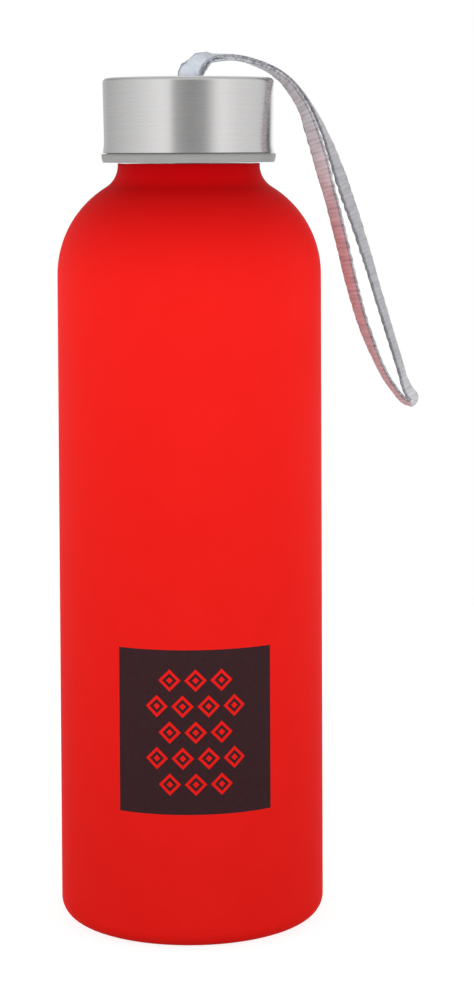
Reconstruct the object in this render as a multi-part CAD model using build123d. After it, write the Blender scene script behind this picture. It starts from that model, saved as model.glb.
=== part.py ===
from build123d import *
import math
import os

# Glass drinking bottle with a screw cap and a webbing loop.
# Millimetres, +Z up, origin at the middle of the standing face, front towards -Y.

# bottle outside, measured over the coat
body_radius = 32.5
corner_radius = 4.5
shoulder_height = 158.7
shoulder_radius = 25.3
neck_radius = 17.5
neck_fillet = 6.35
finish_height = 12.78

# glass
glass_wall = 2.2
lip_radius = 0.8
bead_radius = 0.9
bead_rise = 2.6
ring_outer = 27.6
ring_inner = 23.4
punt_height = 3.2
floor_height = 8.4
floor_dome_radius = 130.0
floor_corner = 6.0

# soft coat
coat_thickness = 0.3
coat_rise = 0.45
coat_end_angle = 70.0

# screw finish and seal
thread_clearance = 1.9
seal_thickness = 2.0
seal_overlap = 0.85
seal_clearance = 0.4
spigot_wall = 1.3
spigot_depth = 2.5
spigot_clearance = 0.35

# moulded insert of the cap
insert_skirt = 1.15
web_thickness = 1.2
flange_height = 2.1
flange_draft = 0.35
flange_lip = 0.35
rim_gap = 0.7
lead_in = 0.8
rib_count = 6
rib_thickness = 1.2
crown_wall = 1.7
crown_chamfer = 1.2
rib_drop = 0.8
frame_wall = 1.4

# steel cover of the cap
steel = 0.5
push_fit = 0.1
pocket_height = 4.9
cover_corner = 1.2
cover_draft = 0.25
hem_height = 2.2
seam = 0.2
slot_length = 9.2
slot_width = 2.8

# how far ribs and ledges run into the walls that carry them
merge = 0.3

# webbing loop and the pin that holds it
strap_width = 6.0
strap_thickness = 0.8
ply_spacing = 1.0
strap_offset = 0.35
pin_radius = 1.25
pin_length = 12.4
pin_play = 0.05
pin_side_play = 0.3
strap_play = 0.3
eye_lift = 0.1
stem_rise = 0.3
arch_start = (5.8, 212.1)

# places that follow from the sizes above
neck_end = shoulder_height + math.sqrt((shoulder_radius + neck_fillet) ** 2
                                       - (neck_radius + neck_fillet - body_radius + shoulder_radius) ** 2)
coat_top = neck_end + coat_rise
mouth_height = neck_end + finish_height
web_bottom = mouth_height + seal_thickness
web_top = web_bottom + web_thickness
cover_inside = web_top + pocket_height
cover_top = cover_inside + steel
bore_radius = neck_radius - coat_thickness + thread_clearance
skirt_radius = bore_radius + insert_skirt
cover_waist = skirt_radius + push_fit + steel
insert_bottom = neck_end + rim_gap
cover_bottom = insert_bottom + flange_height + seam
eye_radius = pin_radius + pin_play + strap_thickness
pin_z = web_top + eye_lift + eye_radius
stack = strap_thickness + ply_spacing


def turned(*edges):
    """Revolve a closed outline, drawn as radius and height, about the axis."""
    return revolve(Plane.XZ * make_face(Curve() + list(edges)), Axis.Z)


def ring(radius_out, radius_in, low, high):
    """Plain tube between two heights."""
    outer = Pos(0, 0, low) * Cylinder(radius_out, high - low, align=(Align.CENTER, Align.CENTER, Align.MIN))
    inner = Pos(0, 0, low) * Cylinder(radius_in, high - low, align=(Align.CENTER, Align.CENTER, Align.MIN))
    return outer - inner


def slot_bar(length, width, low, high):
    """Upright bar with an oval plan, long side along X."""
    return Pos(0, 0, low) * extrude(SlotOverall(length, width), high - low)


def block(length, width, low, high, x=0.0):
    """Upright block centred on y = 0."""
    return Pos(x, 0, low) * Box(length, width, high - low, align=(Align.CENTER, Align.CENTER, Align.MIN))


def side_line(inset, top):
    """Body side, shoulder and neck as one smooth line, moved in from the outside by the inset."""
    shoulder = shoulder_radius - inset
    fillet = neck_fillet + inset
    centre_x = body_radius - shoulder_radius
    fillet_x = neck_radius + neck_fillet
    turn = math.degrees(math.atan2(neck_end - shoulder_height, fillet_x - centre_x))
    return [
        Line((body_radius - inset, corner_radius), (body_radius - inset, shoulder_height)),
        CenterArc((centre_x, shoulder_height), shoulder, 0, turn),
        CenterArc((fillet_x, neck_end), fillet, 180 + turn, -turn),
        Line((neck_radius - inset, neck_end), (neck_radius - inset, top)),
    ]


def base_corner(inset):
    """Rounded foot of the wall, from its lower end up to the straight side."""
    return CenterArc((body_radius - corner_radius, corner_radius), corner_radius - inset,
                     -coat_end_angle, coat_end_angle)


def glass_bottle():
    """Blown bottle: even wall, pushed-up base with a standing ring, bead round the neck, rounded lip."""
    bead_z = neck_end + bead_rise
    outside = base_corner(coat_thickness)
    outer = side_line(coat_thickness, bead_z - bead_radius)
    inset = coat_thickness + glass_wall
    inner_radius = body_radius - inset
    neck_out = neck_radius - coat_thickness
    neck_in = neck_radius - inset
    # the floor is a flat dome that runs into the round corner
    corner_x = inner_radius - floor_corner
    dome_z = floor_height - floor_dome_radius
    rise = math.sqrt((floor_dome_radius + floor_corner) ** 2 - corner_x ** 2)
    lean = math.degrees(math.atan2(corner_x, rise))
    corner_centre = (corner_x, dome_z + rise)
    dome = CenterArc((0, dome_z), floor_dome_radius, 90, -lean)
    floor_round = CenterArc(corner_centre, floor_corner, -90 - lean, 90 + lean)
    inner = side_line(inset, mouth_height - lip_radius)
    inner[0] = Line((inner_radius, corner_centre[1]), (inner_radius, shoulder_height))
    return turned(
        TangentArc((0, punt_height), (ring_inner, 0), tangent=(1, 0)),
        Line((ring_inner, 0), (ring_outer, 0)),
        Line((ring_outer, 0), outside @ 0),
        outside, *outer,
        CenterArc((neck_out, bead_z), bead_radius, -90, 180),
        Line((neck_out, bead_z + bead_radius), (neck_out, mouth_height - lip_radius)),
        CenterArc((neck_out - lip_radius, mouth_height - lip_radius), lip_radius, 0, 90),
        Line((neck_out - lip_radius, mouth_height), (neck_in + lip_radius, mouth_height)),
        CenterArc((neck_in + lip_radius, mouth_height - lip_radius), lip_radius, 90, 90),
        *inner, floor_round, dome,
        Line((0, punt_height), (0, floor_height)),
    )


def soft_touch_coat():
    """Thin skin over the outside of the glass, from above the standing ring to under the cap."""
    outside = base_corner(0)
    inside = base_corner(coat_thickness)
    outer = side_line(0, coat_top)
    inner = side_line(coat_thickness, coat_top)
    return turned(
        Line(inside @ 0, outside @ 0),
        outside, *outer, Line(outer[-1] @ 1, inner[-1] @ 1), *inner, inside,
    )


def seal_ring():
    """Flat gasket between the lip of the glass and the web of the insert."""
    inner = neck_radius - coat_thickness - glass_wall - seal_overlap
    return ring(bore_radius - seal_clearance, inner, mouth_height, web_bottom)


def insert_body():
    """Skirt, flange, web and spigot of the insert, turned in one piece."""
    flange_radius = cover_waist + cover_draft + flange_lip
    flange_top = insert_bottom + flange_height
    spigot_out = neck_radius - coat_thickness - glass_wall - seal_overlap - spigot_clearance
    spigot_in = spigot_out - spigot_wall
    crown_top = cover_inside - push_fit
    crown_in = skirt_radius - crown_wall
    points = [
        (bore_radius + lead_in, insert_bottom),
        (flange_radius - flange_draft, insert_bottom),
        (flange_radius, insert_bottom + flange_height / 2),
        (flange_radius, flange_top),
        (skirt_radius, flange_top),
        (skirt_radius, crown_top - crown_chamfer),
        (skirt_radius - crown_chamfer, crown_top),
        (crown_in, crown_top),
        (crown_in, web_top),
        (0, web_top),
        (0, web_bottom),
        (spigot_in, web_bottom),
        (spigot_in, web_bottom - spigot_depth),
        (spigot_out, web_bottom - spigot_depth),
        (spigot_out, web_bottom),
        (bore_radius, web_bottom),
        (bore_radius, insert_bottom + lead_in),
    ]
    return revolve(Plane.XZ * make_face(Polyline(*points, close=True)), Axis.Z)


def cap_insert():
    """Moulded insert: screw skirt, sealing web and a ribbed crown that cradles the pin."""
    crown_in = skirt_radius - crown_wall
    crown_top = cover_inside - push_fit
    pocket_length = pin_length + 2 * pin_side_play
    pocket_width = 2 * (eye_radius + strap_play)
    frame_length = pocket_length + 2 * frame_wall
    frame_width = pocket_width + 2 * frame_wall
    rib_low = web_top - web_thickness / 2
    insert = insert_body() + block(frame_length, frame_width, rib_low, crown_top)
    for number in range(rib_count):
        angle = 360 / rib_count * (number + 0.5)
        rib = block(crown_in + merge, rib_thickness, rib_low, crown_top - rib_drop, (crown_in + merge) / 2)
        insert += Rot(0, 0, angle) * rib
    insert -= block(pocket_length, pocket_width, web_top, crown_top)
    # ledges at both ends of the pocket carry the pin
    ledge_inner = strap_width / 2 + strap_offset + strap_play
    ledge = pocket_length / 2 + merge - ledge_inner
    for way in (-1, 1):
        middle = way * (ledge_inner + ledge / 2)
        insert += block(ledge, pocket_width + 2 * merge, rib_low, pin_z - pin_radius, middle)
    return insert


def cap_cover():
    """Drawn steel cover with a waist, a slightly opened hem and the slot for the webbing."""
    waist = cover_waist
    top = cover_waist + cover_draft

    def wall(inset):
        corner = cover_corner - inset
        return [
            Line((0, cover_top - inset), (top - cover_corner, cover_top - inset)),
            CenterArc((top - cover_corner, cover_top - cover_corner), corner, 90, -90),
            Line((top - inset, cover_top - cover_corner), (waist - inset, cover_bottom + hem_height)),
            Line((waist - inset, cover_bottom + hem_height), (top - inset, cover_bottom)),
        ]

    cover = turned(*wall(0), Line((top, cover_bottom), (top - steel, cover_bottom)), *wall(steel),
                   Line((0, cover_inside), (0, cover_top)))
    return cover - slot_bar(slot_length, slot_width, cover_inside - 1, cover_top + 1)


def strap_pin():
    """Steel pin that lies in the crown and carries the sewn eye of the webbing."""
    pin = Pos(0, 0, pin_z) * Rot(0, 90, 0) * Cylinder(pin_radius, pin_length)
    return chamfer(pin.edges().filter_by(GeomType.CIRCLE), 0.3)


def strap_stem():
    """Both ends of the webbing: the eye round the pin, the way up through the slot and the twist."""
    eye = Pos(strap_offset, 0, pin_z) * Rot(0, 90, 0) * Cylinder(eye_radius, strap_width)
    hole = Pos(strap_offset, 0, pin_z) * Rot(0, 90, 0) * Cylinder(pin_radius + pin_play, strap_width + 2)
    stem_top = cover_top + stem_rise
    stem = block(strap_width, stack, pin_z, stem_top, strap_offset)
    reach = arch_start[0] - strap_offset
    lift = arch_start[1] - stem_top
    sections = []
    for turn in (0, 22.5, 45, 67.5, 90):
        along, across = math.sin(math.radians(turn)), math.cos(math.radians(turn))
        twist = math.radians(90 * along)
        heading = Vector(reach * along, 0, lift * across).normalized()
        flat = Vector(heading.Z, 0, -heading.X)
        spot = Plane(origin=(arch_start[0] - reach * across, 0, stem_top + lift * along),
                     x_dir=flat * math.cos(twist) + Vector(0, 1, 0) * math.sin(twist), z_dir=heading)
        sections.append(spot * Rectangle(strap_width, stack))
    return (eye + stem - hole) + loft(sections)


# the loop in the XZ plane: over the arch, down the outer leg, round the fold and back
loop_points = [
    (arch_start[0], arch_start[1] + ply_spacing / 2),
    (13.5, 212.6), (22.9, 208.61), (29.03, 201.47), (34.5, 192.2), (38.2, 180.6), (43.4, 166.4),
    (47.7, 151.8), (50.9, 141.6), (53.0, 135.6), (54.5, 131.9), (56.3, 129.2), (57.0, 127.4),
    (56.2, 125.8), (54.6, 125.8), (52.4, 128.3), (49.2, 133.2), (45.2, 141.4), (42.0, 150.6),
    (39.6, 160.4), (37.2, 171.4), (33.8, 185.0), (31.4, 193.2), (28.17, 200.93), (22.3, 207.79),
    (13.3, 211.6),
    (arch_start[0], arch_start[1] - ply_spacing / 2),
]


def loop_radii(points):
    """Largest fair radius at each corner: 0.45 of the shorter run over the tangent of half the turn."""
    radii = []
    for before, here, after in zip(points, points[1:], points[2:]):
        run_in, run_out = Vector(*here) - Vector(*before), Vector(*after) - Vector(*here)
        half_turn = math.radians(run_in.get_angle(run_out)) / 2
        radii.append(0.45 * min(run_in.length, run_out.length) / math.tan(half_turn))
    return radii


def strap_loop():
    """Flat webbing: the loop as one swept band on the sewn stem."""
    radii = loop_radii(loop_points)
    path = Plane.XZ * FilletPolyline(*loop_points, radius=radii)
    start = Plane(origin=path @ 0, x_dir=(0, 1, 0), z_dir=path % 0)
    band = sweep(start * Rectangle(strap_width, strap_thickness), path=path)
    section = strap_width * strap_thickness
    print("loop radii", " ".join(f"{radius:.1f}" for radius in radii))
    print(f"loop length {path.length:.1f}, volume {band.volume:.1f}, section x length {section * path.length:.1f}")
    return strap_stem() + band


nodes = {
    "glass_bottle": glass_bottle,
    "soft_touch_coat": soft_touch_coat,
    "seal_ring": seal_ring,
    "cap_insert": cap_insert,
    "cap_cover": cap_cover,
    "strap_pin": strap_pin,
    "strap_loop": strap_loop,
}

os.makedirs("parts", exist_ok=True)
for name, make in nodes.items():
    solid = make()
    solid.label = name
    export_step(solid, f"parts/{name}.step")
    print(f"{name}: {len(solid.solids())} solid, {solid.volume / 1000:.2f} cm3")
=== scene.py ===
import bpy, math
from mathutils import Matrix, Vector


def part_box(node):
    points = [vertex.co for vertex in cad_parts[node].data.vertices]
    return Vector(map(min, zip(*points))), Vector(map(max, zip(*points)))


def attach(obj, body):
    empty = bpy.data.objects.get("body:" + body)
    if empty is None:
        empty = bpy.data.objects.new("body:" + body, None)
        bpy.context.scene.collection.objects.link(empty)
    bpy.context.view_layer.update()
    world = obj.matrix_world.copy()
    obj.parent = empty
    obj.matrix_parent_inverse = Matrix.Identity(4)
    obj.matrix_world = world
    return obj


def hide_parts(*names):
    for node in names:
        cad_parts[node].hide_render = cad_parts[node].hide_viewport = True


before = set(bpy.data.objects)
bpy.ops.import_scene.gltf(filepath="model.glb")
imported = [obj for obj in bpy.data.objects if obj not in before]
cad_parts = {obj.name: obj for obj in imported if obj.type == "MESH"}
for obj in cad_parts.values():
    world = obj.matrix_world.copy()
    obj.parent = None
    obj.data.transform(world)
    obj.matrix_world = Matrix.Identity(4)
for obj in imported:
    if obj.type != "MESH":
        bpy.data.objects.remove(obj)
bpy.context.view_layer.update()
mm = 0.001
print("stage: frame loaded")


class Wire:                                   # a socket that can be added, multiplied and compared
    def __init__(self, finish, socket):
        self.finish, self.socket = finish, socket

    def __add__(self, other):
        return self.finish.maths("ADD", self, other)

    def __sub__(self, other):
        return self.finish.maths("SUBTRACT", self, other)

    def __rsub__(self, other):
        return self.finish.maths("SUBTRACT", other, self)

    def __mul__(self, other):
        return self.finish.maths("MULTIPLY", self, other)

    def __truediv__(self, other):
        return self.finish.maths("DIVIDE", self, other)

    def __lt__(self, other):
        return self.finish.maths("LESS_THAN", self, other)

    def __gt__(self, other):
        return self.finish.maths("GREATER_THAN", self, other)

    __radd__ = __add__
    __rmul__ = __mul__


class Finish:                                 # a material or world and the nodes in it
    def __init__(self, owner):
        owner.use_nodes = True
        self.owner, self.tree = owner, owner.node_tree
        self.tree.nodes.clear()

    def node(self, kind, settings=None, sockets=None):
        made = self.tree.nodes.new("ShaderNode" + kind)
        for key, value in (settings or {}).items():
            if key == "stops":
                stops = made.color_ramp.elements
                while len(stops) < len(value):
                    stops.new(0.5)
                for stop, (place, colour) in zip(stops, value):
                    stop.position, stop.color = place, colour
            else:
                setattr(made, key, value)
        for key, value in (sockets or {}).items():
            if isinstance(value, Wire):
                self.tree.links.new(value.socket, made.inputs[key])
            else:
                made.inputs[key].default_value = value
        return made

    def wire(self, kind, output, settings=None, sockets=None):
        return Wire(self, self.node(kind, settings, sockets).outputs[output])

    def maths(self, operation, first, second=0.0):
        return self.wire("Math", 0, {"operation": operation}, {0: first, 1: second})

    def size(self, value):                    # the value without its sign
        return self.maths("ABSOLUTE", value)

    def span(self, value, low, high, start=0.0, end=1.0):   # start to end as the value goes low to high
        sockets = {0: value, 1: low, 2: high, 3: start, 4: end}
        return self.wire("MapRange", 0, {"clamp": True}, sockets)

    def stretch(self, value, rise, full, ease, end):   # 1 from full to ease, 0 before rise and past end
        return self.span(value, rise, full) * (1 - self.span(value, ease, end))

    def mix(self, factor, low, high):
        made = self.node("Mix", {"data_type": "RGBA"}, {0: factor, 6: low, 7: high})
        return Wire(self, made.outputs[2])

    def spot(self):                           # the place on the object, in metres
        return self.wire("TexCoord", "Object")

    def split(self, vector):                  # x, y and z of a vector
        parts = self.node("SeparateXYZ", None, {0: vector})
        return (Wire(self, parts.outputs[axis]) for axis in "XYZ")

    def rays(self, *kinds):                   # 1 where a ray is of the kind, as Light Path names it
        path = self.node("LightPath")
        return (Wire(self, path.outputs[f"Is {kind} Ray"]) for kind in kinds)

    def join(self, x, y, z):
        return self.wire("CombineXYZ", 0, None, {0: x, 1: y, 2: z})

    def noise(self, where, scale, detail=2.0, roughness=0.5):
        sockets = {"Vector": where, "Scale": scale, "Detail": detail, "Roughness": roughness}
        return self.wire("TexNoise", 0, None, sockets)

    def bump(self, height, strength, distance):   # distance is in millimetres
        sockets = {"Height": height, "Strength": strength, "Distance": distance * mm}
        return self.wire("Bump", 0, None, sockets)

    def surface(self, **sockets):
        named = {key.replace("_", " "): value for key, value in sockets.items()}
        shader = self.node("BsdfPrincipled", None, named)
        self.node("OutputMaterial", None, {"Surface": Wire(self, shader.outputs[0])})
        return self.owner


def newFinish(name):
    return Finish(bpy.data.materials.new(name))


def shade(r, g, b):                           # a colour as it looks on a screen, 0 to 255
    shown = [c / 255 for c in (r, g, b)]
    return (*(c / 12.92 if c < 0.0405 else ((c + 0.055) / 1.055) ** 2.4 for c in shown), 1)


def arc(centreX, centreZ, radius, start, turn, steps):
    angles = [math.radians(start + turn * k / steps) for k in range(steps + 1)]
    return [(centreX + radius * math.cos(a), centreZ + radius * math.sin(a)) for a in angles]


def levels(radius, low, high, step):          # straight wall as rings a step apart
    count = max(1, round(abs(high - low) / step))
    return [(radius, low + (high - low) * k / count) for k in range(count + 1)]


tolerance = {"same": 1e-6, "turned": 0.002, "copied": 0.004, "wall": 0.01}   # millimetres


def deselect():
    if bpy.context.object and bpy.context.object.mode != "OBJECT":
        bpy.ops.object.mode_set(mode="OBJECT")
    bpy.ops.object.select_all(action="DESELECT")


def choose(piece):
    deselect()
    bpy.context.view_layer.objects.active = piece
    piece.select_set(True)


def finishPiece(piece, finish, body, angle):
    choose(piece)
    bpy.ops.object.transform_apply(location=True, rotation=True, scale=True)
    bpy.ops.object.shade_smooth_by_angle(angle=math.radians(angle))
    piece.data.materials.clear()
    piece.data.materials.append(finish)
    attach(piece, body)


def turnedPiece(name, profile, segments, closed=False):
    # rings from a circle by extrude, resize and move; the profile is radius and height in millimetres
    deselect()
    radius, height = profile[0]
    start = (0, 0, height * mm)
    bpy.ops.mesh.primitive_circle_add(vertices=segments, radius=radius * mm, location=start)
    piece = bpy.context.object
    piece.name = piece.data.name = name
    bpy.ops.object.mode_set(mode="EDIT")
    bpy.ops.mesh.select_all(action="SELECT")
    if not closed:
        bpy.ops.mesh.edge_face_add()
        bpy.ops.mesh.poke()
        bpy.ops.mesh.select_all(action="DESELECT")
        bpy.ops.mesh.select_non_manifold()
    for (r0, z0), (r1, z1) in zip(profile, profile[1:]):
        bpy.ops.mesh.extrude_region_move()
        if abs(r1 - r0) > tolerance["same"]:
            bpy.ops.transform.resize(value=(r1 / r0, r1 / r0, 1), center_override=(0, 0, z0 * mm))
        if abs(z1 - z0) > tolerance["same"]:
            bpy.ops.transform.translate(value=(0, 0, (z1 - z0) * mm))
    if not closed:
        bpy.ops.mesh.edge_face_add()
        bpy.ops.mesh.poke()
    bpy.ops.mesh.select_all(action="SELECT")
    bpy.ops.mesh.remove_doubles(threshold=tolerance["turned"] * mm)
    bpy.ops.mesh.normals_make_consistent(inside=False)
    bpy.ops.object.mode_set(mode="OBJECT")
    return piece


def mergedCopy(name, node):                   # a CAD node's shape as one welded mesh
    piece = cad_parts[node].copy()
    piece.data = piece.data.copy()
    piece.name = piece.data.name = name
    piece.parent = None
    for key in list(piece.keys()):
        del piece[key]
    bpy.context.collection.objects.link(piece)
    choose(piece)
    bpy.ops.object.mode_set(mode="EDIT")
    bpy.ops.mesh.select_all(action="SELECT")
    bpy.ops.mesh.remove_doubles(threshold=tolerance["copied"] * mm)
    bpy.ops.object.mode_set(mode="OBJECT")
    return piece


camera = {"side": 1.2, "distance": 613.9, "height": 190.9, "tilt": 2.671, "turn": 0.988, "roll": -0.258,
          "lens": 89.8, "sensor": 36, "shiftY": -0.24, "near": 0.01, "far": 20}


def makeCamera():
    tilt, turn, roll = (math.radians(camera[key]) for key in ("tilt", "turn", "roll"))
    level = Vector((math.sin(turn), math.cos(turn), 0))
    ahead = level * math.cos(tilt) - Vector((0, 0, math.sin(tilt)))
    right = Vector((math.cos(turn), -math.sin(turn), 0))
    up = right.cross(ahead)
    leanRight = math.cos(roll) * right + math.sin(roll) * up
    leanUp = math.cos(roll) * up - math.sin(roll) * right
    data = bpy.data.cameras.new("studioCamera")
    data.lens, data.sensor_width, data.shift_y = camera["lens"], camera["sensor"], camera["shiftY"]
    data.clip_start, data.clip_end = camera["near"], camera["far"]
    eye = bpy.data.objects.new("studioCamera", data)
    bpy.context.collection.objects.link(eye)
    turned = Matrix((leanRight, leanUp, -ahead)).transposed().to_4x4()
    place = Vector((camera["side"], -camera["distance"], camera["height"])) * mm
    eye.matrix_world = Matrix.Translation(place) @ turned
    bpy.context.scene.camera = eye


makeCamera()
print("stage: camera")

webbing = {"width": 5.9, "thickness": 0.74, "rib": 1.1, "ringsPerRib": 4, "scallop": 0.16, "ribDepth": 0.08,
           "ripple": 0.05, "ripplePitch": (0.43, 0.71), "swayPitch": (0.58, 1.9), "wave": 0.14,
           "wavePitch": 2.6, "drift": 1.5, "driftPitch": 0.37, "yarn": 0.42, "exit": (0.35, 0.0, 207.0),
           "diameter": 6.0, "curveOrder": 3, "curveSteps": 16, "headingReach": 3}

# stretches of the band whose tone carries painted light or shade: where each starts to show, is full, fades
# and ends
bandTones = {"outerLegShade": (22, 40, 110, 124), "clearOfCapLight": (12, 24, 212, 226),
             "pastFoldRedCancel": (122, 130, 140, 170)}

# the loop: up through the slot, over the arch, down the outer leg, round the fold and back
route = [
    (0.35, -0.4, 202.1), (0.35, -1.7, 202.1), (0.35, -1.75, 203.8), (0.35, -1.5, 205.3), (0.4, -0.5, 206.4),
    (0.2, -0.5, 208.2), (1.5, -0.6, 210.0), (3.2, -0.5, 212.0), (7.0, -0.1, 212.5),
    (13.6, 0.0, 212.45), (23.3, 0.4, 208.85), (29.45, 0.9, 202.0), (34.15, 1.3, 192.4), (38.0, 1.4, 180.9),
    (43.0, 1.3, 166.2), (47.2, 1.2, 151.7), (50.3, 1.0, 141.5), (52.2, 0.7, 135.2), (53.3, 0.5, 131.2),
    (54.5, 0.2, 128.9), (55.45, 0.0, 127.4), (54.6, -0.1, 126.3), (53.0, -0.1, 127.0), (51.1, -0.3, 129.2),
    (48.3, -0.5, 133.1), (44.6, -0.8, 141.3), (41.5, -1.1, 150.4), (39.1, -1.3, 160.2), (36.6, -1.4, 171.2),
    (33.0, -1.3, 184.8), (30.7, -1.1, 193.0), (28.0, -0.7, 200.8), (22.6, -0.3, 208.0), (13.4, 0.0, 211.6),
    (8.4, 0.2, 211.6), (4.6, 0.5, 211.2), (2.5, 0.5, 209.5), (0.8, 0.5, 208.0), (0.4, 0.5, 206.4),
    (0.35, 1.5, 205.3), (0.35, 1.75, 203.2),
]

# how far the band is turned about its own line, in degrees, at distances from the slot along each half
turnOut = [(-2, 90), (1.0, 84), (3.0, 48), (5.0, 38), (7, 24), (9, 8), (12, 4), (17, 2), (36, 5), (44, 14),
           (51, 24), (57, 30), (62, 30), (73.5, 25), (85.5, 21), (103, 19), (108, 18), (111, 22), (114, 28),
           (118, 15)]
turnBack = [(-2, 90), (0.8, 84), (2.6, 48), (4.4, 36), (5.8, 22), (7.4, 6), (11, 2), (15, 0), (20, -6),
            (24, -13), (28.5, -19), (34, -22), (40, -30), (48, -33), (57.5, -27), (73.5, -25), (91.5, -20),
            (101.5, -13), (109.5, -12), (113, -15)]


def routeLine():
    data = bpy.data.curves.new("route", "CURVE")
    data.dimensions = "3D"
    spline = data.splines.new("NURBS")
    spline.points.add(len(route) - 1)
    for point, (x, y, z) in zip(spline.points, route):
        point.co = (x * mm, y * mm, z * mm, 1)
    spline.order_u = webbing["curveOrder"]
    spline.use_endpoint_u = True
    data.resolution_u = webbing["curveSteps"]
    holder = bpy.data.objects.new("route", data)
    bpy.context.collection.objects.link(holder)
    bpy.context.view_layer.update()
    shown = holder.evaluated_get(bpy.context.evaluated_depsgraph_get())
    mesh = bpy.data.meshes.new_from_object(shown)
    line = [v.co.copy() for v in mesh.vertices]
    bpy.data.objects.remove(holder)
    bpy.data.meshes.remove(mesh)
    return line


def between(table, distance):                 # smooth reading of a short table
    for (d0, v0), (d1, v1) in zip(table, table[1:]):
        if distance <= d1:
            part = max(0.0, (distance - d0) / (d1 - d0))
            return v0 + (v1 - v0) * part * part * (3 - 2 * part)
    return table[-1][1]


def walk(line, step):                         # a line's length, and its distances and points a step apart
    lengths = [0.0]
    for a, b in zip(line, line[1:]):
        lengths.append(lengths[-1] + (b - a).length)
    total, places, k = lengths[-1], [], 0
    count = round(total / step)
    for n in range(count + 1):
        distance = total * n / count
        while k < len(line) - 2 and lengths[k + 1] < distance:
            k += 1
        part = (distance - lengths[k]) / max(lengths[k + 1] - lengths[k], tolerance["same"] * mm)
        places.append((distance, line[k].lerp(line[k + 1], part)))
    return total, places


# half of the band's outline from edge to edge, in shares of half its width and thickness, and its turned copy
bandTop = [(1, 0.35), (0.94, 0.82), (0.8, 1), (0, 1), (-0.8, 1), (-0.94, 0.82), (-1, 0.35)]
bandOutline = bandTop + [(-u, -t) for u, t in bandTop]


def bandRing(spot, along, heading, turn, firstHalf):   # points round the band's cross-section, with UVs
    w = webbing
    side = Vector((0, 1, 0))
    normal = heading.cross(side).normalized() * (1 if firstHalf else -1)
    across = side * math.cos(turn) + normal * math.sin(turn)
    across = (across - heading * across.dot(heading)).normalized()
    through = heading.cross(across)
    # the edges swell at each rib and wander a little, as woven edges do
    swell = abs(math.sin(math.pi * along / w["rib"]))
    short, long = w["ripplePitch"]
    ripple = math.sin(along / short) + 0.6 * math.sin(along / long + 1)
    drift = w["drift"] * math.sin(along * w["driftPitch"])
    wave = w["wave"] * math.sin(2 * math.pi * along / w["wavePitch"] + drift)
    wide = w["width"] / 2 + w["scallop"] * (swell - 0.5) + w["ripple"] * ripple + wave
    short, long = w["swayPitch"]
    sway = w["ripple"] * (math.sin(along / short + 2) + math.sin(along / long)) - wave / 2
    thick = w["thickness"] / 2 * (1 - w["ribDepth"] * (1 - swell))
    points = [spot + across * (u * wide + sway) * mm + through * t * thick * mm for u, t in bandOutline]
    return points, [(u * wide, along) for u, t in bandOutline]


def bandMesh(verts, uvs):                     # skin over the rings, with both ends closed
    around = len(bandOutline)
    faces = [(a, b, b + around, a + around) for ring in range(len(verts) // around - 1)
             for a, b in ((ring * around + k, ring * around + (k + 1) % around) for k in range(around))]
    faces.append(tuple(range(around))[::-1])
    faces.append(tuple(range(len(verts) - around, len(verts))))
    data = bpy.data.meshes.new("webbingLoop")
    data.from_pydata(verts, [], faces)
    layer = data.uv_layers.new(name="band")
    for loop in data.loops:
        layer.data[loop.index].uv = uvs[loop.vertex_index]
    return data


def makeWebbing(finish):
    line = routeLine()
    total, places = walk(line, webbing["rib"] / webbing["ringsPerRib"] * mm)
    outside = [distance / mm for distance, spot in places if spot.z > webbing["exit"][2] * mm]
    leaves, returns = outside[0], outside[-1]
    fold = min(places, key=lambda place: place[1].z)[0] / mm
    reach, last = webbing["headingReach"], len(places) - 1
    verts, uvs = [], []
    for k, (distance, spot) in enumerate(places):
        along = distance / mm
        heading = (places[min(k + reach, last)][1] - places[max(k - reach, 0)][1]).normalized()
        firstHalf = along < fold
        turn = between(turnOut, along - leaves) if firstHalf else between(turnBack, returns - along)
        ring, ringUvs = bandRing(spot, along, heading, math.radians(turn), firstHalf)
        verts += ring
        uvs += ringUvs
    piece = bpy.data.objects.new("webbingLoop", bandMesh(verts, uvs))
    bpy.context.collection.objects.link(piece)
    choose(piece)
    bpy.ops.object.mode_set(mode="EDIT")
    bpy.ops.mesh.select_all(action="SELECT")
    bpy.ops.mesh.normals_make_consistent(inside=False)
    bpy.ops.object.mode_set(mode="OBJECT")
    finishPiece(piece, finish, "cap", 60)
    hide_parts("strap_loop")
    print(f"stage: webbing, {total / mm:.1f} mm long")
    return piece, total, [list(p) for p in line]


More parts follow.
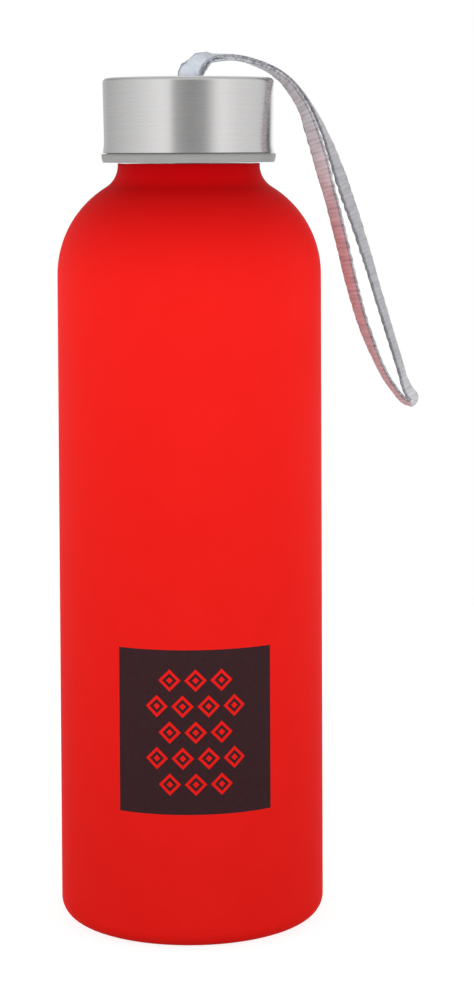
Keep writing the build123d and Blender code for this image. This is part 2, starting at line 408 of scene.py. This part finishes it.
def webbingFinish():
    f = newFinish("ribbedWebbing")
    across, along, _ = f.split(f.wire("TexCoord", "UV"))
    weave = f.maths("SINE", along * (math.pi / webbing["rib"]))
    rib = f.size(weave)
    yarn = f.maths("SINE", across * (2 * math.pi / webbing["yarn"]) + weave * 1.2)
    fuzz = f.noise(f.spot(), 3200, 3.0)
    pulled = f.span(f.noise(f.join(across * 0.14, along * 0.7, 0.0), 1.0, 1.0), 0.36, 0.64)
    # painted shade and light: the outer leg is painted greyer for shade, the band by the cap paler and cooler
    # for the light from above it, and just past the fold a cool tint cancels the red light the bottle throws
    # on it
    outerLegShade = f.stretch(along, *bandTones["outerLegShade"])
    near = 1 - f.stretch(along, *bandTones["clearOfCapLight"])
    pastFoldRedCancel = f.stretch(along, *bandTones["pastFoldRedCancel"])
    tone = f.mix(outerLegShade, shade(234, 234, 240), shade(182, 180, 185))
    tone = f.mix(near, tone, shade(232, 239, 250))
    tone = f.mix(pastFoldRedCancel * 0.8, tone, shade(206, 236, 240))
    # painted shade darkens the selvedge, and the lines between the ribs and the tighter passes are darker too
    rim = f.size(across)
    edge = f.span(rim, 2.2, 2.65, 0.0, 0.6)
    # painted highlight: on the return half the thin sides keep less of the painted edge shade
    frontEdgeLight = f.span(rim, 2.75, 2.9, 0.0, 0.35) * f.span(along, 120, 126)
    # by the cap the painted light also weakens the darker rib lines and tighter passes
    dark = ((1 - rib) * 0.2 + pulled * 0.24) * (1 - near * 0.75) + (0.6 - fuzz) * 0.3 + edge * (1 - frontEdgeLight)
    height = rib * (0.6 - near * 0.45) + yarn * 0.15 + fuzz * 0.3
    return f.surface(Base_Color=f.mix(dark, tone, shade(116, 115, 121)), Roughness=0.82 + (fuzz - 0.5) * 0.1,
                     Specular_IOR_Level=0.25, Sheen_Weight=0.35, Sheen_Roughness=0.5,
                     Normal=f.bump(height, 0.4, 0.1))


loop, loopLength, loopLine = makeWebbing(webbingFinish())

coatLow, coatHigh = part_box("soft_touch_coat")
glassLow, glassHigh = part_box("glass_bottle")
bottle = {"radius": coatHigh[0] / mm, "corner": 4.5, "shoulderZ": 158.7, "shoulder": 25.3, "neck": 17.5,
          "fillet": 6.35, "coat": 0.3, "coatTop": coatHigh[2] / mm, "mouth": glassHigh[2] / mm, "wall": 2.2,
          "lip": 0.8, "ringOut": 27.6, "ringIn": 23.4, "punt": 3.2, "floor": 8.4, "floorDome": 130.0,
          "floorCorner": 6.0, "coatEnd": 70.0, "bead": 0.9, "beadRise": 2.6, "beadGap": 0.15,
          "axisHole": 0.4, "sideStep": 6, "neckStep": 0.22, "segments": 192}
fillX = bottle["neck"] + bottle["fillet"]
shoulderX = bottle["radius"] - bottle["shoulder"]
blendReach = bottle["shoulder"] + bottle["fillet"]
neckEnd = bottle["shoulderZ"] + math.sqrt(blendReach ** 2 - (fillX - shoulderX) ** 2)
shoulderTurn = math.degrees(math.atan2(neckEnd - bottle["shoulderZ"], fillX - shoulderX))


def sideLine(inset, low):                     # body side, shoulder and neck fillet, from below
    b = bottle
    return (levels(b["radius"] - inset, low, b["shoulderZ"], b["sideStep"])
            + arc(shoulderX, b["shoulderZ"], b["shoulder"] - inset, 0, shoulderTurn, 22)[1:]
            + arc(fillX, neckEnd, b["fillet"] + inset, 180 + shoulderTurn, -shoulderTurn, 12)[1:])


def baseCorner(inset):
    b = bottle
    return arc(b["radius"] - b["corner"], b["corner"], b["corner"] - inset, -b["coatEnd"], b["coatEnd"], 10)


# the ridge round the neck; its start is a height above the top of the push-up, where the glass's mesh begins
screw = {"lead": 25.4 / 6, "turns": 1.35, "height": 1.35, "width": 1.9, "start": 190.4, "fade": 30.0,
         "flankEnd": 1.35, "flankRun": 0.7, "clear": 0.1}


def ridge(angle, height):                     # how much of the ridge stands at an angle and height, 0 to 1
    best = 0.0
    for turnNumber in range(math.ceil(screw["turns"])):
        turned = angle / 360 + turnNumber
        if turned <= screw["turns"]:
            off = abs(height - screw["start"] - screw["lead"] * turned) / (screw["width"] / 2)
            ends = min(turned, screw["turns"] - turned) * 360 / screw["fade"]
            flank = max(0.0, min(1.0, (screw["flankEnd"] - off) / screw["flankRun"]))
            best = max(best, min(1.0, ends) * flank * flank * (3 - 2 * flank))
    return best


def raiseScrew(piece, radius, low, high):     # heights are the mesh's own, before its place is applied
    for v in piece.data.vertices:
        x, y, z = v.co / mm
        reach = math.hypot(x, y)
        if low < z < high and abs(reach - radius) < tolerance["wall"]:
            out = screw["height"] * ridge(math.degrees(math.atan2(y, x)) % 360, z)
            v.co.x, v.co.y = x * (reach + out) / reach * mm, y * (reach + out) / reach * mm


def makeGlass(finish):
    b = bottle
    inset = b["coat"] + b["wall"]
    neckOut, neckIn = b["neck"] - b["coat"], b["neck"] - inset
    lipZ = b["mouth"] - b["lip"]
    cornerX = b["radius"] - inset - b["floorCorner"]
    domeZ = b["floor"] - b["floorDome"]
    rise = math.sqrt((b["floorDome"] + b["floorCorner"]) ** 2 - cornerX ** 2)
    lean = math.degrees(math.atan2(cornerX, rise))
    domeStart = math.degrees(b["axisHole"] / b["floorDome"])
    puntRadius = (b["ringIn"] ** 2 + b["punt"] ** 2) / (2 * b["punt"])
    puntTurn = math.degrees(math.asin(b["ringIn"] / puntRadius))
    puntStart = math.degrees(math.asin(b["axisHole"] / puntRadius))
    beadZ = neckEnd + b["beadRise"]
    beadTop = beadZ + b["bead"]
    # from the middle of the push-up round the outside to the lip, and down the inside to the middle
    profile = (arc(0, b["punt"] - puntRadius, puntRadius, 90 - puntStart, puntStart - puntTurn, 14)
               + [(b["ringOut"], 0.0)]
               + baseCorner(b["coat"]) + sideLine(b["coat"], b["corner"])[1:]
               + arc(neckOut, beadZ, b["bead"], -90, 180, 10)
               + levels(neckOut, beadTop + b["beadGap"], lipZ, b["neckStep"])
               + arc(neckOut - b["lip"], lipZ, b["lip"], 0, 90, 6)[1:]
               + arc(neckIn + b["lip"], lipZ, b["lip"], 90, 90, 6)
               + sideLine(inset, domeZ + rise)[::-1]
               + arc(cornerX, domeZ + rise, b["floorCorner"], 0, -90 - lean, 8)[1:]
               + arc(0, domeZ, b["floorDome"], 90 - lean, lean - domeStart, 10)[1:])
    piece = turnedPiece("clearGlass", profile, b["segments"])
    raiseScrew(piece, neckOut, beadTop + screw["clear"], lipZ)
    finishPiece(piece, finish, "bottle", 40)
    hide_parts("glass_bottle")


def makeCoat(finish):
    b = bottle
    outside = baseCorner(0) + sideLine(0, b["corner"])[1:] + [(b["neck"], b["coatTop"])]
    inside = (baseCorner(b["coat"]) + sideLine(b["coat"], b["corner"])[1:]
              + [(b["neck"] - b["coat"], b["coatTop"])])
    piece = turnedPiece("redCoat", outside + inside[::-1] + outside[:1], b["segments"], closed=True)
    finishPiece(piece, finish, "bottle", 50)
    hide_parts("soft_touch_coat")


def glassFinish():
    f = newFinish("clearGlass")
    return f.surface(Base_Color=shade(246, 251, 249), Roughness=0.03, IOR=1.5, Transmission_Weight=1.0,
                     Normal=f.bump(f.noise(f.spot(), 90, 1.0), 0.08, 0.3))


# a printed panel low on the front, with rows of three and four nested diamonds in turn
panel = {"turn": 1.77, "width": 38.0, "low": 32.45, "high": 71.7, "cellWide": 6.2, "cellHigh": 6.2, "rows": 5,
         "diamond": 0.86, "hollow": 0.56, "core": 0.26}
wholeCells = 50                               # keeps what FRACT and MODULO read above nought


def panelMasks(f, x, y, z):                   # where the panel lies, and where its motif does
    p = panel
    around = (f.maths("ARCTAN2", x, y * -1) - math.radians(p["turn"])) * bottle["radius"]
    up = z / mm - (p["low"] + p["high"]) / 2
    inside = (f.size(around) < p["width"] / 2) * (f.size(up) < (p["high"] - p["low"]) / 2)
    row = up / p["cellHigh"] + (wholeCells + 0.5)
    odd = f.maths("MODULO", f.maths("FLOOR", row), 2.0)
    column = around / p["cellWide"] + odd * 0.5 + (wholeCells + 0.5)
    diamond = (f.size(f.maths("FRACT", column) - 0.5) + f.size(f.maths("FRACT", row) - 0.5)) * 2
    drawn = (diamond < p["diamond"]) * (diamond > p["hollow"]) + (diamond < p["core"])
    kept = ((f.size(around) < (odd * 0.5 + 1.5) * p["cellWide"])
            * (f.size(up) < p["cellHigh"] * p["rows"] / 2))
    return inside, drawn * kept


def coatFinish():
    f = newFinish("softRedCoat")
    spot = f.spot()
    x, y, z = f.split(spot)
    grain = f.noise(spot, 5200, 2.0)
    red = f.mix(f.noise(spot, 110, 3.0), shade(240, 29, 24), shade(245, 33, 28))
    # painted shade: the red is painted darker up the shoulder to the neck, standing in for the lower light
    # there
    rise = f.span(z, 150 * mm, 184 * mm)
    red = f.mix(rise * rise, red, shade(184, 3, 9))
    ink = f.mix(f.noise(spot, 900, 2.0), shade(56, 34, 37), shade(64, 41, 44))
    inside, motif = panelMasks(f, x, y, z)
    bare = inside * (1 - motif)
    return f.surface(Base_Color=f.mix(inside, red, f.mix(motif, ink, red)), IOR=1.1,
                     Roughness=0.64 + (grain - 0.5) * 0.12 - bare * 0.06,
                     Normal=f.bump(grain * 0.5 + bare * 0.6, 0.12, 0.05))


makeGlass(glassFinish())
makeCoat(coatFinish())
print("stage: glass and coat")

coverLow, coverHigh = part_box("cap_cover")
cover = {"top": coverHigh[0] / mm, "draft": 0.25, "high": coverHigh[2] / mm, "low": coverLow[2] / mm,
         "steel": 0.5, "corner": 1.2, "swell": 0.04, "swellDrop": 1.5, "hem": 2.2, "hemStep": 2, "edge": 0.12,
         "slotLong": 9.2, "slotWide": 2.8, "slotSides": 48, "cutDeep": 4, "segments": 192,
         "rings": (18.0, 14.0, 9.5, 6.6, 5.4, 0.4)}


def makeCover(finish):
    c = cover
    top, waist, low, high, steel = c["top"], c["top"] - c["draft"], c["low"], c["high"], c["steel"]
    edge, hemTop, stepTop = c["edge"], low + c["hem"], low + c["hem"] + c["hemStep"]
    cornerX, cornerZ = top - c["corner"], high - c["corner"]
    outside = ([(top - edge, low), (top, low + edge)] + levels(waist, hemTop, stepTop, 1)
               + [(top - c["swell"], cornerZ - c["swellDrop"])]
               + arc(cornerX, cornerZ, c["corner"], 0, 90, 10)
               + [(r, high) for r in c["rings"]])
    inside = ([(r, high - steel) for r in c["rings"][::-1]]
              + arc(cornerX, cornerZ, c["corner"] - steel, 90, -90, 6)
              + [(waist - steel, stepTop), (waist - steel, hemTop), (top - steel, low + edge),
                 (top - steel + edge, low)])
    # one wall from the middle of the underside round the hem to the middle of the top
    piece = turnedPiece("steelCover", inside + outside, c["segments"])
    deselect()
    half, depth = c["slotWide"] / 2 * mm, c["cutDeep"] * mm
    bpy.ops.mesh.primitive_cylinder_add(vertices=c["slotSides"], radius=half, depth=depth,
                                        location=(0, 0, high * mm))
    cutter = bpy.context.object
    reach = (c["slotLong"] - c["slotWide"]) / 2 * mm
    for v in cutter.data.vertices:            # the round punch drawn out to an oval
        v.co.x += reach if v.co.x > 0 else -reach
    cut = piece.modifiers.new("slot", "BOOLEAN")
    cut.operation, cut.solver, cut.object = "DIFFERENCE", "EXACT", cutter
    choose(piece)
    bpy.ops.object.modifier_apply(modifier="slot")
    bpy.data.objects.remove(cutter)
    finishPiece(piece, finish, "cap", 30)
    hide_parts("cap_cover")


def steelFinish():
    f = newFinish("brushedSteel")
    x, y, z = f.split(f.spot())
    path = z - f.maths("SQRT", x * x + y * y)   # runs up the side and in across the top
    fine = f.noise(f.join(x * 45, y * 45, path * 9500), 1.0, 3.0, 0.6)
    broad = f.noise(f.join(x * 18, y * 18, path * 1600), 1.0, 2.0)
    base = f.mix(fine, shade(208, 207, 206), shade(236, 235, 235))
    base = f.mix(broad * 0.5, base, shade(218, 216, 216))
    # painted reflection: a dark line painted where the side turns in to the top, standing in for the dark
    # band the rounded corner reflects
    fall = (cover["high"] * mm - z) / mm
    cornerReflectionLine = f.span(fall, 0.12, 0.32) - f.span(fall, 0.5, 0.9)
    base = f.mix(cornerReflectionLine * 0.5, base, shade(120, 118, 120))
    return f.surface(Base_Color=base, Metallic=1.0, Roughness=0.2 + fine * 0.14, Anisotropic=0.6,
                     Anisotropic_Rotation=0.25, Normal=f.bump(fine + broad * 0.4, 0.08, 0.02))


# a plain sleeve on the insert's bore, from the lead-in to just under the gasket
liner = {"radius": 19.1, "half": 0.1, "low": 187.13333, "below": 0.3, "step": 0.22, "segments": 192}


def makeInsert(finish):
    piece = mergedCopy("greyInsert", "cap_insert")
    finishPiece(piece, finish, "cap", 30)
    # flats stay flat beside the small fillets
    bpy.ops.object.modifier_add(type="WEIGHTED_NORMAL")
    even = piece.modifiers[-1]
    even.keep_sharp, even.weight = True, 100
    bpy.ops.object.modifier_apply(modifier=even.name)
    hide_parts("cap_insert")


def makeLiner(finish):
    inner, outer = liner["radius"] - liner["half"], liner["radius"] + liner["half"]
    low, high = liner["low"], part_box("seal_ring")[0][2] / mm - liner["below"]
    profile = levels(inner, low, high, liner["step"]) + [(outer, high), (outer, low), (inner, low)]
    piece = turnedPiece("insertScrew", profile, liner["segments"], closed=True)
    finishPiece(piece, finish, "cap", 40)


def plasticFinish():
    f = newFinish("greyPlastic")
    spot = f.spot()
    grain = f.noise(spot, 2600, 2.0)
    base = f.mix(f.noise(spot, 140, 2.0), shade(146, 148, 145), shade(158, 160, 157))
    return f.surface(Base_Color=base, Roughness=0.42 + (grain - 0.5) * 0.12, Specular_IOR_Level=0.4,
                     Normal=f.bump(grain, 0.15, 0.04))


gasket = {"inner": 14.15, "soft": 0.25, "segments": 160}


def makeSeal(finish):
    low, high = (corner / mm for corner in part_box("seal_ring"))
    outer, inner, soft = high[0], gasket["inner"], gasket["soft"]
    profile = [(inner + soft, low[2]), (outer - soft, low[2]), (outer, low[2] + soft),
               (outer, high[2] - soft), (outer - soft, high[2]), (inner + soft, high[2]),
               (inner, high[2] - soft), (inner, low[2] + soft), (inner + soft, low[2])]
    piece = turnedPiece("siliconeSeal", profile, gasket["segments"], closed=True)
    finishPiece(piece, finish, "seal", 50)
    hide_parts("seal_ring")


def siliconeFinish():
    f = newFinish("paleSilicone")
    haze = f.noise(f.spot(), 700, 2.0)
    base = f.mix(haze, shade(226, 227, 222), shade(238, 239, 235))
    return f.surface(Base_Color=base, Roughness=0.5 + (haze - 0.5) * 0.1, Normal=f.bump(haze, 0.1, 0.05))


def pinFinish():
    f = newFinish("plainSteel")
    x, y, z = f.split(f.spot())
    drawn = f.noise(f.join(x * 300, y * 5200, z * 5200), 1.0, 2.0)
    base = f.mix(drawn, shade(178, 178, 176), shade(206, 206, 203))
    return f.surface(Base_Color=base, Metallic=1.0, Roughness=0.28 + drawn * 0.14,
                     Normal=f.bump(drawn, 0.2, 0.02))


def makePin(finish):
    piece = mergedCopy("steelPin", "strap_pin")
    finishPiece(piece, finish, "cap", 40)
    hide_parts("strap_pin")


makeCover(steelFinish())
greyPlastic = plasticFinish()
makeInsert(greyPlastic)
makeLiner(greyPlastic)
makeSeal(siliconeFinish())
makePin(pinFinish())
print("stage: cap")

studio = {"floorSize": 0.8, "floorTone": 0.6, "floorLift": 0.8, "lampWide": 0.9, "lampHigh": 0.5,
          "lampReach": 1.1, "lampHeight": 0.1, "lampPower": 2.0, "lampTurns": (-50, 50), "lampAim": 0.1,
          "side": 1.62, "overhead": 0.14, "mirrorTop": 0.95}

# the greys that polished metal mirrors, at shares of the way round from behind
mirror = [(0.0, 0.62), (0.12, 0.5), (0.21, 0.62), (0.31, 0.78), (0.385, 0.95), (0.43, 0.99), (0.446, 0.42),
          (0.5, 0.29), (0.56, 0.34), (0.582, 0.6), (0.605, 0.9), (0.63, 0.99), (0.69, 0.83), (0.82, 0.73),
          (0.85, 0.66), (0.866, 0.09), (0.898, 0.09), (0.915, 0.9), (0.96, 1.2), (1.0, 0.62)]


def grey(value):
    return (value, value, value, 1)


def makeFloor():
    deselect()
    bpy.ops.mesh.primitive_plane_add(size=studio["floorSize"], location=(0, 0, 0))
    floor = bpy.context.object
    floor.name = "studioFloor"
    f = newFinish("whiteFloor")
    seen, glossy, through = f.rays("Camera", "Glossy", "Transmission")
    shown = f.maths("MAXIMUM", f.maths("MAXIMUM", seen, glossy), through)
    card = f.wire("BsdfDiffuse", 0, None, {"Color": grey(studio["floorTone"])})
    glow = f.wire("Emission", 0, None, {"Strength": shown * studio["floorLift"]})
    f.node("OutputMaterial", None, {"Surface": f.wire("AddShader", 0, None, {0: card, 1: glow})})
    floor.data.materials.append(f.owner)


def makeWorld():
    world = bpy.data.worlds.new("studioWorld")
    bpy.context.scene.world = world
    f = Finish(world)
    x, y, z = f.split(f.wire("TexCoord", "Generated"))
    around = f.maths("ARCTAN2", x, y * -1) / (2 * math.pi) + 0.5
    stops = [(spot, grey(tone)) for spot, tone in mirror]
    ring = f.wire("ValToRGB", 0, {"stops": stops}, {0: around})
    shown = f.mix(f.span(z, 0.4, 0.8), ring, grey(studio["mirrorTop"]))
    lift = f.span(z, 0.1, 0.75, studio["side"], studio["overhead"])
    plain = f.wire("VectorMath", 0, {"operation": "SCALE"}, {0: (1.0, 1.0, 1.0), 3: lift})
    seen, glossy, through = f.rays("Camera", "Glossy", "Transmission")
    colour = f.mix(glossy, plain, shown)
    colour = f.mix(f.maths("MAXIMUM", seen, through), colour, grey(1.0))
    light = f.wire("Background", 0, None, {"Color": colour, "Strength": 1.0})
    f.node("OutputWorld", None, {"Surface": light})


def makeLamps():
    s = studio
    for number, turn in enumerate(s["lampTurns"]):
        data = bpy.data.lights.new(f"softbox{number}", "AREA")
        data.shape, data.size, data.size_y = "RECTANGLE", s["lampWide"], s["lampHigh"]
        data.energy = s["lampPower"]
        lamp = bpy.data.objects.new(f"softbox{number}", data)
        bpy.context.collection.objects.link(lamp)
        side, ahead = math.sin(math.radians(turn)), -math.cos(math.radians(turn))
        lamp.location = (side * s["lampReach"], ahead * s["lampReach"], s["lampHeight"])
        aim = Vector((0, 0, s["lampAim"])) - lamp.location
        lamp.rotation_euler = aim.to_track_quat("-Z", "Y").to_euler()
        lamp.visible_glossy = False


makeFloor()
makeWorld()
makeLamps()
bpy.context.scene.view_settings.view_transform = "Standard"
print("stage: floor and light")
